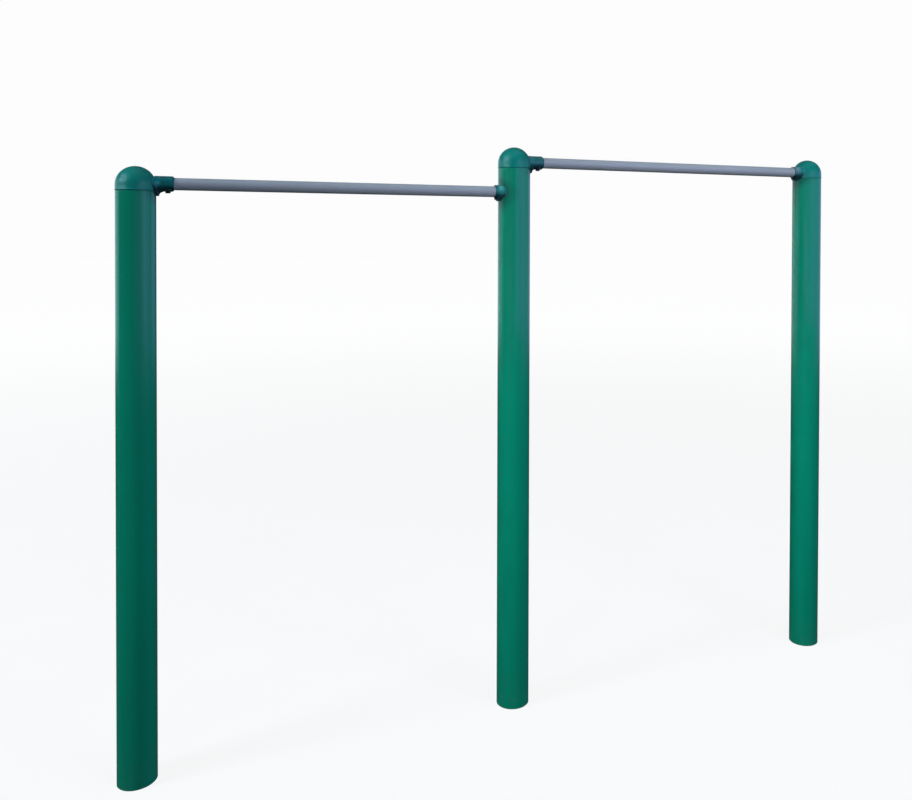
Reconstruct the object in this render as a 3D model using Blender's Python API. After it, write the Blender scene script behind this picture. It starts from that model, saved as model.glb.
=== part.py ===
"""Double pull-up bar: three round posts with dome caps carry a low bar and a high bar in cast sockets.

Metres, +Z up. The origin is on the ground, midway between the two outer posts. +X runs along the bars,
from the short post at the low bar's end to the tall post at the high bar's end. The front is towards -Y.
"""
import math

import bmesh
import bpy
from mathutils import Matrix, Vector

# The layout, between the posts' axes and above the ground
LOW_BAY = 1.215
HIGH_BAY = 1.275
LOW_BAR_HEIGHT = 1.824
BAR_STEP = 0.107

# The posts: round steel tube
POST_DIAMETER = 0.114
POST_WALL = 0.003
POST_EDGE_CHAMFER = 0.0008

# The disc welded into each foot
FOOT_DISC_THICKNESS = 0.008
FOOT_DRAIN_DIAMETER = 0.020

# The cast dome caps
CAP_SKIRT = 0.019
CAP_WALL = 0.004
SPIGOT_LENGTH = 0.045
SPIGOT_WALL = 0.004
SPIGOT_CLEARANCE = 0.0004
SPIGOT_CHAMFER = 0.0015
SEAM_HEIGHT = 0.0016
SEAM_DEPTH = 0.0018
LIP_PROUD = 0.0012
LIP_HEIGHT = 0.0034
CAP_BOSS_DIAMETER = 0.026
CAP_BOSS_LENGTH = 0.015

# The bars: round steel tube
BAR_DIAMETER = 0.038
BAR_WALL = 0.003

# The cast sockets; each bar has a deep one at its left end and a shallow one at its right end
BAR_ABOVE_SEAM = 0.024
SOCKET_WALL = 0.0045
SOCKET_WEB = 0.006
DEEP_PROJECTION = 0.0505
SHALLOW_PROJECTION = 0.017
MOUTH_CHAMFER = 0.004
DEEP_SPARE = 0.0135
FLANGE_HALF_WIDTH = 0.0395
DEEP_FLANGE_DROP = 0.038
SHALLOW_FLANGE_DROP = 0.033
FLANGE_THICKNESS = 0.0065
FLANGE_EDGE_ROUND = 0.002
DEEP_FILLET = 0.0165
SHALLOW_FILLET = 0.006
LIP_RELIEF = 0.0005
HEEL_GAP = 0.0035

# The set screws under the sockets, in small bosses
SET_SCREW_DIAMETER = 0.008
SET_SCREW_LENGTH = 0.0085
SET_SCREW_HEX = 0.004
SET_SCREW_FROM_MOUTH = 0.018
SHALLOW_SET_SCREW_FROM_MOUTH = 0.008
SET_SCREW_BOSS_DIAMETER = 0.0145
SET_SCREW_BOSS_DROP = 0.005
SET_SCREW_BOSS_FILLET = 0.0065
SHALLOW_BOSS_FILLET = 0.0005

# The bolts that hold the sockets, their washers and the one nut
BOLT_DIAMETER = 0.010
BOLT_LENGTH = 0.030
BOLT_HEAD_DIAMETER = 0.016
BOLT_HEAD_HEIGHT = 0.010
BOLT_HEX = 0.008
WASHER_DIAMETER = 0.020
WASHER_THICKNESS = 0.002
NUT_ACROSS_FLATS = 0.017
NUT_HEIGHT = 0.008
NUT_CHAMFER = 0.0012

# The grub screws that lock the caps, at the back of the posts
CAP_SCREW_DIAMETER = 0.006
CAP_SCREW_LENGTH = 0.008
CAP_SCREW_HEX = 0.003
CAP_SCREW_BELOW_SEAM = 0.020

# The gap between pieces that touch, and around fasteners
TOUCH = 0.0003

# How many sides round pieces have
POST_SIDES = 48
DOME_SIDES = 36
DOME_RINGS = 7
HOLLOW_RINGS = 3
DISC_SIDES = 32
BAR_SIDES = 32
SOCKET_SIDES = 32
BACK_RINGS = 5
FILLET_RINGS = 3
BOSS_RINGS = 2
BOSS_SIDES = 16
SMALL_SIDES = 10

# Places worked out from the sizes above
LEFT_X = -(LOW_BAY + HIGH_BAY) / 2
MIDDLE_X = LEFT_X + LOW_BAY
RIGHT_X = MIDDLE_X + HIGH_BAY
HIGH_BAR_HEIGHT = LOW_BAR_HEIGHT + BAR_STEP
LOW_POST_TOP = LOW_BAR_HEIGHT - BAR_ABOVE_SEAM
HIGH_POST_TOP = HIGH_BAR_HEIGHT - BAR_ABOVE_SEAM
POST_RADIUS = POST_DIAMETER / 2
POST_BORE = POST_RADIUS - POST_WALL
SADDLE_RADIUS = POST_RADIUS + TOUCH
BAR_RADIUS = BAR_DIAMETER / 2
SOCKET_BORE = BAR_RADIUS + TOUCH
SOCKET_RADIUS = SOCKET_BORE + SOCKET_WALL
SOCKET_FLOOR = SADDLE_RADIUS + SOCKET_WEB
BOLT_HOLE = BOLT_DIAMETER / 2 + TOUCH
SET_SCREW_HOLE = SET_SCREW_DIAMETER / 2 + TOUCH
CAP_SCREW_HOLE = CAP_SCREW_DIAMETER / 2 + TOUCH
EQUATOR = CAP_SKIRT


def clear_scene():
    for old in list(bpy.data.objects):
        bpy.data.objects.remove(old, do_unlink=True)


def finish_material(name, colour, roughness, metallic):
    """A plain Principled material in the part's colour."""
    material = bpy.data.materials.new(name)
    material.use_nodes = True
    shader = material.node_tree.nodes["Principled BSDF"]
    shader.inputs["Base Color"].default_value = (*colour, 1.0)
    shader.inputs["Roughness"].default_value = roughness
    shader.inputs["Metallic"].default_value = metallic
    return material


def mesh_object(name, bm, material, parent=None, smooth_angle=35):
    """Makes the bmesh an object with outward faces, smooth across all but its sharp edges."""
    bmesh.ops.remove_doubles(bm, verts=bm.verts, dist=1e-6)
    bmesh.ops.recalc_face_normals(bm, faces=bm.faces)
    mesh = bpy.data.meshes.new(name)
    bm.to_mesh(mesh)
    bm.free()
    mesh.shade_smooth()
    mesh.set_sharp_from_angle(angle=math.radians(smooth_angle))
    made = bpy.data.objects.new(name, mesh)
    if material is not None:
        made.data.materials.append(material)
    bpy.context.scene.collection.objects.link(made)
    made.parent = parent
    return made


def place(name, location, turn=0.0):
    """An empty that carries one group of pieces."""
    empty = bpy.data.objects.new(name, None)
    empty.location = location
    empty.rotation_euler = (0.0, 0.0, turn)
    bpy.context.scene.collection.objects.link(empty)
    return empty


def turned(profile, sides, closed):
    """A profile of (radius, height) pairs spun round Z; a closed profile makes a ring."""
    bm = bmesh.new()
    points = [bm.verts.new((radius, 0.0, height)) for radius, height in profile]
    for first, second in zip(points, points[1:]):
        bm.edges.new((first, second))
    if closed:
        bm.edges.new((points[-1], points[0]))
    bmesh.ops.spin(
        bm, geom=bm.verts[:] + bm.edges[:], cent=(0, 0, 0), axis=(0, 0, 1),
        angle=2 * math.pi, steps=sides, use_merge=True,
    )
    bmesh.ops.remove_doubles(bm, verts=bm.verts, dist=1e-6)
    return bm


def prism(radius, end_radius, low, high, sides, axis="Z"):
    """A straight or tapered round bar from low to high along an axis."""
    bm = bmesh.new()
    bmesh.ops.create_cone(
        bm, cap_ends=True, segments=sides, radius1=radius, radius2=end_radius, depth=high - low,
    )
    bmesh.ops.translate(bm, verts=bm.verts, vec=(0, 0, (low + high) / 2))
    lay_along(bm, axis)
    return bm


def lay_along(bm, axis):
    """Turns what stands along Z to lie along X or Y."""
    if axis == "X":
        bmesh.ops.rotate(bm, verts=bm.verts, matrix=Matrix.Rotation(math.pi / 2, 3, "Y"))
    if axis == "Y":
        bmesh.ops.rotate(bm, verts=bm.verts, matrix=Matrix.Rotation(-math.pi / 2, 3, "X"))


def lofted(rings):
    """Skins a series of rings with as many points each, and closes the last one to the first."""
    bm = bmesh.new()
    loops = [[bm.verts.new(point) for point in ring] for ring in rings]
    for first, second in zip(loops, loops[1:] + loops[:1]):
        for i in range(len(first)):
            bm.faces.new((first[i - 1], first[i], second[i], second[i - 1]))
    bmesh.ops.triangulate(bm, faces=bm.faces, quad_method="SHORT_EDGE")
    return bm


def cutter(name, bm, parent):
    """A shape that is taken from or joined to another object, and isn't a piece itself."""
    made = mesh_object(name, bm, None, parent)
    made.hide_render = True
    made.display_type = "WIRE"
    return made


def combine(piece, tool, operation):
    """Adds an exact Boolean with the tool."""
    change = piece.modifiers.new(tool.name, "BOOLEAN")
    change.solver = "EXACT"
    change.operation = operation
    change.object = tool


def hex_radius(across_flats):
    return across_flats / math.sqrt(3)


def post(name, post_place, top, material):
    """The tube, with a small chamfer at its upper outer edge and a hole for the cap's screw."""
    profile = [
        (POST_BORE, 0.0),
        (POST_RADIUS, 0.0),
        (POST_RADIUS, top - POST_EDGE_CHAMFER),
        (POST_RADIUS - POST_EDGE_CHAMFER, top),
        (POST_BORE, top),
    ]
    tube = mesh_object(name, turned(profile, POST_SIDES, True), material, post_place)
    height = top - CAP_SCREW_BELOW_SEAM
    hole = prism(CAP_SCREW_HOLE, CAP_SCREW_HOLE, 0.0, POST_DIAMETER, SMALL_SIDES, "Y")
    bmesh.ops.translate(hole, verts=hole.verts, vec=(0, 0, height))
    combine(tube, cutter(name + "_screw_hole", hole, post_place), "DIFFERENCE")
    return tube


def foot_disc(name, post_place, material):
    """The disc that closes the tube at the ground, with a drain hole."""
    outer = POST_BORE - TOUCH
    drain = FOOT_DRAIN_DIAMETER / 2
    profile = [(drain, 0.0), (outer, 0.0), (outer, FOOT_DISC_THICKNESS), (drain, FOOT_DISC_THICKNESS)]
    return mesh_object(name, turned(profile, DISC_SIDES, True), material, post_place)


def dome_arc(radius, first, last, rings):
    """Points of the dome from one elevation to another, in degrees, round the cap's equator."""
    points = []
    for step in range(rings + 1):
        elevation = math.radians(first + (last - first) * step / rings)
        points.append((radius * math.cos(elevation), EQUATOR + radius * math.sin(elevation)))
    return points


def cap_profile():
    """The cap's section, from the apex down its outside and back up its inside. Height 0 is the tube's top."""
    spigot = POST_BORE - SPIGOT_CLEARANCE
    lip = POST_RADIUS + LIP_PROUD
    lip_low = TOUCH + SEAM_HEIGHT
    lip_high = lip_low + LIP_HEIGHT
    inside = spigot - SPIGOT_WALL
    outside = [(0.0, EQUATOR + POST_RADIUS)] + dome_arc(POST_RADIUS, 90.0, 0.0, DOME_RINGS)[1:]
    skirt = [
        (POST_RADIUS, lip_high),
        (lip, lip_high - LIP_PROUD),
        (lip, lip_low + LIP_PROUD / 2),
        (lip - LIP_PROUD / 2, lip_low),
        (POST_RADIUS - SEAM_DEPTH, lip_low),
        (POST_RADIUS - SEAM_DEPTH, TOUCH),
        (spigot, TOUCH),
    ]
    foot = [
        (spigot, SPIGOT_CHAMFER - SPIGOT_LENGTH),
        (spigot - SPIGOT_CHAMFER, -SPIGOT_LENGTH),
        (inside, -SPIGOT_LENGTH),
        (inside, lip_high),
    ]
    hollow = dome_arc(POST_RADIUS - CAP_WALL, 0.0, 90.0, HOLLOW_RINGS)[:-1]
    return outside + skirt + foot + hollow + [(0.0, EQUATOR + POST_RADIUS - CAP_WALL)]


def cap(name, post_place, top, side, material):
    """The hollow cap with its spigot in the tube and a boss for the socket's bolt; side is +1 or -1 along X."""
    seat = place(name + "_place", (0, 0, top), 0.0 if side > 0 else math.pi)
    seat.parent = post_place
    dome = mesh_object(name, turned(cap_profile(), DOME_SIDES, False), material, seat)

    above = BAR_ABOVE_SEAM - EQUATOR
    wall_inside = math.sqrt((POST_RADIUS - CAP_WALL) ** 2 - above ** 2)
    boss_end = wall_inside + CAP_WALL / 6
    boss_radius = CAP_BOSS_DIAMETER / 2
    boss = prism(boss_radius, boss_radius, boss_end - CAP_BOSS_LENGTH, boss_end, SMALL_SIDES, "X")
    bmesh.ops.translate(boss, verts=boss.verts, vec=(0, 0, BAR_ABOVE_SEAM))
    combine(dome, cutter(name + "_boss", boss, seat), "UNION")

    hole = prism(BOLT_HOLE, BOLT_HOLE, POST_RADIUS / 3, POST_DIAMETER, SMALL_SIDES, "X")
    bmesh.ops.translate(hole, verts=hole.verts, vec=(0, 0, BAR_ABOVE_SEAM))
    combine(dome, cutter(name + "_bolt_hole", hole, seat), "DIFFERENCE")

    screw = prism(CAP_SCREW_HOLE, CAP_SCREW_HOLE, 0.0, POST_DIAMETER, SMALL_SIDES, "Y")
    bmesh.ops.translate(screw, verts=screw.verts, vec=(0, 0, top - CAP_SCREW_BELOW_SEAM))
    combine(dome, cutter(name + "_screw_hole", screw, post_place), "DIFFERENCE")
    return dome


def cap_screw(name, post_place, top, material):
    """A grub screw, its slotted end just under the tube's surface at the back."""
    outer = POST_RADIUS - TOUCH
    radius = CAP_SCREW_DIAMETER / 2
    body = prism(radius, radius, outer - CAP_SCREW_LENGTH, outer, SMALL_SIDES, "Y")
    recess = prism(hex_radius(CAP_SCREW_HEX), hex_radius(CAP_SCREW_HEX), outer - CAP_SCREW_LENGTH / 2, POST_DIAMETER, 6, "Y")
    height = top - CAP_SCREW_BELOW_SEAM
    for shape in (body, recess):
        bmesh.ops.translate(shape, verts=shape.verts, vec=(0, 0, height))
    screw = mesh_object(name, body, material, post_place)
    combine(screw, cutter(name + "_recess", recess, post_place), "DIFFERENCE")
    return screw


def flange_reach(angle, drop):
    """How far the flange's edge lies from the bar's axis: a squared top, level with the socket, and a round foot."""
    across = abs(math.cos(angle)) / FLANGE_HALF_WIDTH
    if math.sin(angle) > 0.0:
        return (across ** 3 + (math.sin(angle) / SOCKET_RADIUS) ** 3) ** (-1 / 3)
    return (across ** 2 + (math.sin(angle) / drop) ** 2) ** (-1 / 2)


def seat_depth(y, z, on_cap):
    """How far the socket's back stands from the post's axis: on the tube and, above the skirt, on the dome."""
    above = z + BAR_ABOVE_SEAM - EQUATOR
    if on_cap and above > 0.0:
        top = SOCKET_RADIUS + BAR_ABOVE_SEAM - EQUATOR
        return math.sqrt(SADDLE_RADIUS ** 2 - y ** 2 - above ** 2) + HEEL_GAP * (above / top) ** 2
    return math.sqrt(SADDLE_RADIUS ** 2 - y ** 2)


def socket_ring(shape, out, wrap, on_cap):
    """A ring round the bar's axis. Shape gives its reach at an angle; wrap 1 bends it round the post."""
    ring = []
    for step in range(SOCKET_SIDES):
        angle = 2 * math.pi * step / SOCKET_SIDES
        reach = shape(angle)
        y, z = reach * math.cos(angle), reach * math.sin(angle)
        ring.append(Vector((out + wrap * (seat_depth(y, z, on_cap) - SADDLE_RADIUS), y, z)))
    return ring


def circle(radius):
    """A ring's shape that is a circle."""
    return lambda angle: radius


def between(radius, drop, share, inset=0.0):
    """A ring's shape a share of the way from a circle to the flange's edge, which is inset but for its top."""
    def shape(angle):
        inwards = inset if math.sin(angle) < 0.0 else inset * abs(math.cos(angle))
        return radius + (flange_reach(angle, drop) - inwards - radius) * share
    return shape


def socket_rings(mouth, drop, fillet, on_cap):
    """All the rings of a socket: its back, its flange, its filleted wall, its mouth, its bore and its floor."""
    front = SADDLE_RADIUS + FLANGE_THICKNESS
    steps = []
    for step in range(BACK_RINGS + 1):
        steps.append((between(BOLT_HOLE, drop, step / BACK_RINGS), SADDLE_RADIUS, 1.0))
    steps.append((between(BOLT_HOLE, drop, 1.0), front - FLANGE_EDGE_ROUND, 1.0))
    for step in range(FILLET_RINGS + 1):
        angle = math.pi / 2 * step / FILLET_RINGS
        shape = between(SOCKET_RADIUS, drop, 1 - math.sin(angle), FLANGE_EDGE_ROUND)
        steps.append((shape, front + fillet * (1 - math.cos(angle)), math.cos(angle)))
    steps.append((circle(SOCKET_RADIUS), mouth - MOUTH_CHAMFER, 0.0))
    steps.append((circle(SOCKET_RADIUS - MOUTH_CHAMFER), mouth, 0.0))
    steps.append((circle(SOCKET_BORE), mouth, 0.0))
    steps.append((circle(SOCKET_BORE), SOCKET_FLOOR, 0.0))
    steps.append((circle(BOLT_HOLE), SOCKET_FLOOR, 0.0))
    return [socket_ring(shape, out, wrap, on_cap) for shape, out, wrap in steps]


def screw_boss(fillet):
    """The small boss under a socket, which spreads into the socket's wall in a concave fillet."""
    radius = SET_SCREW_BOSS_DIAMETER / 2
    end = -(SOCKET_RADIUS + SET_SCREW_BOSS_DROP)
    root = -math.sqrt(SOCKET_RADIUS ** 2 - (radius + fillet) ** 2)
    profile = [(0.0, end)]
    for step in range(BOSS_RINGS + 1):
        angle = math.pi / 2 * step / BOSS_RINGS
        profile.append((radius + fillet * (1 - math.cos(angle)), end + (root - end) * math.sin(angle)))
    inside = -(SOCKET_BORE + TOUCH)
    profile += [(radius + fillet, inside), (0.0, inside)]
    return turned(profile, BOSS_SIDES, False)


def socket(name, seat, projection, drop, fillet, screw_out, boss_fillet, on_cap, material):
    """The cast socket: a flange that saddles the post, a tube for the bar and a boss for the set screw."""
    rings = socket_rings(POST_RADIUS + projection, drop, fillet, on_cap)
    casting = mesh_object(name, lofted(rings), material, seat)

    if on_cap:
        low = TOUCH + SEAM_HEIGHT - LIP_RELIEF - BAR_ABOVE_SEAM
        high = low + LIP_HEIGHT + 2 * LIP_RELIEF
        outer = POST_RADIUS + LIP_PROUD + LIP_RELIEF
        groove = [(POST_BORE, low), (outer, low), (outer, high), (POST_BORE, high)]
        relief = cutter(name + "_lip_relief", turned(groove, SOCKET_SIDES, True), seat)
        combine(casting, relief, "DIFFERENCE")

    boss = screw_boss(boss_fillet)
    in_bore = SOCKET_WALL / 3 - SOCKET_BORE
    hole = prism(SET_SCREW_HOLE, SET_SCREW_HOLE, -2 * SOCKET_RADIUS, in_bore, SMALL_SIDES)
    for shape in (boss, hole):
        bmesh.ops.translate(shape, verts=shape.verts, vec=(screw_out, 0, 0))
    combine(casting, cutter(name + "_boss", boss, seat), "UNION")
    combine(casting, cutter(name + "_screw_hole", hole, seat), "DIFFERENCE")
    return casting


def bolt(name, seat, material):
    """The socket-head bolt that draws the casting to the post, its head on the washer."""
    under_head = SOCKET_FLOOR + TOUCH + WASHER_THICKNESS + TOUCH
    head = BOLT_HEAD_DIAMETER / 2
    shank = BOLT_DIAMETER / 2
    chamfer = BOLT_DIAMETER / 10
    end = under_head - BOLT_LENGTH
    top = under_head + BOLT_HEAD_HEIGHT
    profile = [
        (0.0, end),
        (shank - chamfer, end),
        (shank, end + chamfer),
        (shank, under_head),
        (head, under_head),
        (head, top - chamfer),
        (head - chamfer, top),
        (0.0, top),
    ]
    body = turned(profile, SMALL_SIDES, False)
    lay_along(body, "X")
    made = mesh_object(name, body, material, seat)
    hexagon = hex_radius(BOLT_HEX)
    recess = prism(hexagon, hexagon, top - BOLT_HEAD_HEIGHT / 2, top + BOLT_HEAD_HEIGHT, 6, "X")
    combine(made, cutter(name + "_recess", recess, seat), "DIFFERENCE")
    return made


def washer(name, seat, material):
    """The flat washer on the socket's floor."""
    low = SOCKET_FLOOR + TOUCH
    outer = WASHER_DIAMETER / 2
    high = low + WASHER_THICKNESS
    ring = turned([(BOLT_HOLE, low), (outer, low), (outer, high), (BOLT_HOLE, high)], SMALL_SIDES, True)
    lay_along(ring, "X")
    return mesh_object(name, ring, material, seat)


def nut(name, seat, material):
    """The hexagon nut inside the tube, which bears on the tube's wall by its corners."""
    corner = hex_radius(NUT_ACROSS_FLATS)
    face = math.sqrt(POST_BORE ** 2 - corner ** 2) - TOUCH
    body = prism(corner, corner, face - NUT_HEIGHT, face, 6, "X")
    made = mesh_object(name, body, material, seat)
    rim = NUT_ACROSS_FLATS / 2
    double_cone = [
        (0.0, face - NUT_HEIGHT),
        (rim, face - NUT_HEIGHT),
        (rim + 2 * NUT_CHAMFER, face - NUT_HEIGHT + NUT_CHAMFER),
        (rim + 2 * NUT_CHAMFER, face - NUT_CHAMFER),
        (rim, face),
        (0.0, face),
    ]
    limit = turned(double_cone, SMALL_SIDES, False)
    lay_along(limit, "X")
    combine(made, cutter(name + "_chamfers", limit, seat), "INTERSECT")
    hole = prism(BOLT_HOLE, BOLT_HOLE, 0.0, POST_RADIUS, SMALL_SIDES, "X")
    combine(made, cutter(name + "_hole", hole, seat), "DIFFERENCE")
    return made


def set_screw(name, seat, screw_out, material):
    """The grub screw under the socket, its tip on the bar."""
    radius = SET_SCREW_DIAMETER / 2
    tip = -(BAR_RADIUS + TOUCH)
    end = tip - SET_SCREW_LENGTH
    chamfer = SET_SCREW_DIAMETER / 10
    profile = [
        (0.0, end),
        (radius - chamfer, end),
        (radius, end + chamfer),
        (radius, tip - 2 * chamfer),
        (radius - 2 * chamfer, tip),
        (0.0, tip),
    ]
    body = turned(profile, SMALL_SIDES, False)
    hexagon = hex_radius(SET_SCREW_HEX)
    recess = prism(hexagon, hexagon, end - SET_SCREW_LENGTH, end + SET_SCREW_LENGTH / 2, 6)
    for shape in (body, recess):
        bmesh.ops.translate(shape, verts=shape.verts, vec=(screw_out, 0, 0))
    made = mesh_object(name, body, material, seat)
    combine(made, cutter(name + "_recess", recess, seat), "DIFFERENCE")
    return made


def bar(name, left_x, right_x, height, material):
    """The tube between two sockets: it stops short in the deep one and sits on the shallow one's floor."""
    start = left_x + SOCKET_FLOOR + DEEP_SPARE
    end = right_x - SOCKET_FLOOR - TOUCH
    bore = BAR_RADIUS - BAR_WALL
    edge = BAR_WALL / 6
    profile = [
        (bore, 0.0),
        (BAR_RADIUS - edge, 0.0),
        (BAR_RADIUS, edge),
        (BAR_RADIUS, end - start - edge),
        (BAR_RADIUS - edge, end - start),
        (bore, end - start),
    ]
    tube = turned(profile, BAR_SIDES, True)
    lay_along(tube, "X")
    made = mesh_object(name, tube, material)
    made.location = (start, 0.0, height)
    return made


def deep_socket(name, seat, on_cap, material):
    """The deep socket and the place of its set screw."""
    screw_out = POST_RADIUS + DEEP_PROJECTION - SET_SCREW_FROM_MOUTH
    socket(name, seat, DEEP_PROJECTION, DEEP_FLANGE_DROP, DEEP_FILLET, screw_out, SET_SCREW_BOSS_FILLET,
           on_cap, material)
    return screw_out


def shallow_socket(name, seat, on_cap, material):
    """The shallow socket and the place of its set screw."""
    screw_out = POST_RADIUS + SHALLOW_PROJECTION - SHALLOW_SET_SCREW_FROM_MOUTH
    socket(name, seat, SHALLOW_PROJECTION, SHALLOW_FLANGE_DROP, SHALLOW_FILLET, screw_out, SHALLOW_BOSS_FILLET,
           on_cap, material)
    return screw_out


def socket_set(name, post_x, height, turn, kind, on_cap, finishes):
    """A socket with its bolt, washer and set screw, carried by one empty on the post's axis."""
    seat = place(name + "_place", (post_x, 0.0, height), turn)
    screw_out = kind(name + "_socket", seat, on_cap, finishes["casting"])
    bolt(name + "_bolt", seat, finishes["zinc"])
    washer(name + "_washer", seat, finishes["zinc"])
    set_screw(name + "_set_screw", seat, screw_out, finishes["zinc"])
    return seat


def build():
    clear_scene()
    finishes = {
        "green": finish_material("green_enamel", (0.004, 0.115, 0.082), 0.25, 0.0),
        "casting": finish_material("cast_green_enamel", (0.004, 0.105, 0.078), 0.32, 0.0),
        "bar": finish_material("grey_bar_paint", (0.27, 0.29, 0.36), 0.42, 0.2),
        "zinc": finish_material("zinc_fasteners", (0.55, 0.56, 0.58), 0.35, 1.0),
        "disc": finish_material("galvanised_disc", (0.42, 0.43, 0.44), 0.55, 0.9),
    }
    posts = (("left", LEFT_X, LOW_POST_TOP, 1), ("middle", MIDDLE_X, HIGH_POST_TOP, 1),
             ("right", RIGHT_X, HIGH_POST_TOP, -1))
    tubes = {}
    for side, x, top, boss_side in posts:
        post_place = place(side + "_post_place", (x, 0.0, 0.0))
        tubes[side] = post(side + "_post", post_place, top, finishes["green"])
        foot_disc(side + "_foot_disc", post_place, finishes["disc"])
        cap(side + "_cap", post_place, top, boss_side, finishes["casting"])
        cap_screw(side + "_cap_screw", post_place, top, finishes["zinc"])

    bar("low_bar", LEFT_X, MIDDLE_X, LOW_BAR_HEIGHT, finishes["bar"])
    bar("high_bar", MIDDLE_X, RIGHT_X, HIGH_BAR_HEIGHT, finishes["bar"])

    socket_set("low_bar_deep", LEFT_X, LOW_BAR_HEIGHT, 0.0, deep_socket, True, finishes)
    low_right = socket_set("low_bar_shallow", MIDDLE_X, LOW_BAR_HEIGHT, math.pi, shallow_socket, False, finishes)
    socket_set("high_bar_deep", MIDDLE_X, HIGH_BAR_HEIGHT, 0.0, deep_socket, True, finishes)
    socket_set("high_bar_shallow", RIGHT_X, HIGH_BAR_HEIGHT, math.pi, shallow_socket, True, finishes)

    nut("low_bar_shallow_nut", low_right, finishes["zinc"])
    hole = prism(BOLT_HOLE, BOLT_HOLE, 0.0, POST_DIAMETER, SMALL_SIDES, "X")
    combine(tubes["middle"], cutter("middle_post_bolt_hole", hole, low_right), "DIFFERENCE")


build()
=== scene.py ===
# %% [markdown]
# # Double pull-up bar
#
# The object is an outdoor station for pull-ups. Three round steel posts, closed by cast dome caps, carry
# two grip bars side by side, and each bar ends in a cast socket that is bolted to a post.
#
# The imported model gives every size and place. This file makes the same pieces again with finer curves and
# rounder edges, and gives them paint. A finer piece that stands for a solid of the model hides it.

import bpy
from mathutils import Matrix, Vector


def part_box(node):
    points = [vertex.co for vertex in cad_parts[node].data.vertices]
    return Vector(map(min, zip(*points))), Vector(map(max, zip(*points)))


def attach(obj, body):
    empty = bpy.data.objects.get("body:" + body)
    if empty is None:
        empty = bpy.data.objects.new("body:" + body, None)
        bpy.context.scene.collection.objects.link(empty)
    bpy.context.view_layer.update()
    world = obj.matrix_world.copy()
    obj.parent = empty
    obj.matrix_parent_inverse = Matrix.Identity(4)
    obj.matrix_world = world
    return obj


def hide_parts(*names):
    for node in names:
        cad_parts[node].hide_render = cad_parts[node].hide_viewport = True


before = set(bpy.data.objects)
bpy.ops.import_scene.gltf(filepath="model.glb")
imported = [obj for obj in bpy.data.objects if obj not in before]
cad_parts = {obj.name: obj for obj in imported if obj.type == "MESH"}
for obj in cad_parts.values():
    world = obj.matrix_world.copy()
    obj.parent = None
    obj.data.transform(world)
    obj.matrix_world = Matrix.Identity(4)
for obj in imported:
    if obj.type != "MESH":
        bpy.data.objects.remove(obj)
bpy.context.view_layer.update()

# %% Modules
import math

import bmesh
import bpy
from mathutils import Matrix, Vector

# %% [markdown]
# ## The places of the posts and bars
#
# On site, the fitter sets out the posts first and hangs the bars between them. The file does it in the same
# order: each post's axis is the middle of its disc in the foot, and each bar's height is the middle of its
# tube. Reading them from the frame is safer than typing them again, because the two can't drift apart.

# %% Read the places
def middle(node):
    """The centre of a node's box."""
    low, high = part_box(node)
    return (low + high) / 2


POSTS = {side: middle(side + "_foot_disc").x for side in ("left", "middle", "right")}
BARS = {name: middle(name).z for name in ("low_bar", "high_bar")}
TOPS = {side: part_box(side + "_post")[1].z for side in POSTS}
print("posts at", {side: round(x, 4) for side, x in POSTS.items()})
print("bars at", {name: round(z, 4) for name, z in BARS.items()})

# %% [markdown]
# ## The camera
#
# The photograph was taken by somebody standing in front of the short post and looking along the row, so the
# three posts get shorter towards the right. The place, the turn and the lens come from a fit of the posts'
# edges, the caps' tops and the bars' lines. The lens is shifted, as when a picture is cropped above and at
# a side.

# %% Place the camera
EYE = (-1.0778, -2.9583, 1.6687)
YAW, PITCH, ROLL = math.radians(22.503), math.radians(-0.829), math.radians(-0.219)
looking = Vector((math.sin(YAW) * math.cos(PITCH), math.cos(YAW) * math.cos(PITCH), math.sin(PITCH)))
camera_data = bpy.data.cameras.new("camera")
camera_data.lens = 34.737
camera_data.sensor_width = 36.0
camera_data.shift_x = -0.114
camera_data.shift_y = -0.1658
camera = bpy.data.objects.new("camera", camera_data)
turned_to = looking.to_track_quat("-Z", "Y").to_matrix() @ Matrix.Rotation(-ROLL, 3, "Z")
camera.matrix_world = Matrix.Translation(EYE) @ turned_to.to_4x4()
bpy.context.scene.collection.objects.link(camera)
bpy.context.scene.camera = camera
print("camera", [round(v, 3) for v in camera.location])

# %% [markdown]
# ## Light
#
# Outdoors the gloss on a post is the sky: a pale band at the left edge and a weak bluish sheen over the
# right half, which both stop where the reflection meets the ground. Here the world is that sky. It is dim,
# so the posts stay deep green, and it glows just above the horizon on three sides. The soft boxes give the
# even light. They don't show in the gloss, and those with a narrow spread keep their light on the two tall
# posts. Two more lights do the opposite, and are only there to be reflected: the wide sheen high at the
# left is the pale patch on the domes, and the blue card close in front is a bluish sheen on the two tall
# posts.

# %% Helpers for nodes
def add_node(tree, kind, place, **settings):
    """Adds a node at a place in the editor and sets what is named: attributes, or inputs by their name."""
    node = tree.nodes.new(kind)
    node.location = place
    inputs = settings.pop("inputs", {})
    for name, value in settings.items():
        setattr(node, name, value)
    for name, value in inputs.items():
        node.inputs[name].default_value = value
    return node


def map_range(tree, place, value, start, end, low=0.0, high=1.0, kind="LINEAR"):
    """Maps the range from start to end onto the range from low to high, and stops at its ends."""
    node = add_node(tree, "ShaderNodeMapRange", place, interpolation_type=kind,
                    inputs={"From Min": start, "From Max": end, "To Min": low, "To Max": high})
    tree.links.new(value, node.inputs["Value"])
    return node.outputs["Result"]


def ease(tree, place, value, start, end):
    """A smooth rise from 0 to 1 while the value goes from start to end."""
    return map_range(tree, place, value, start, end, kind="SMOOTHSTEP")


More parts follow.
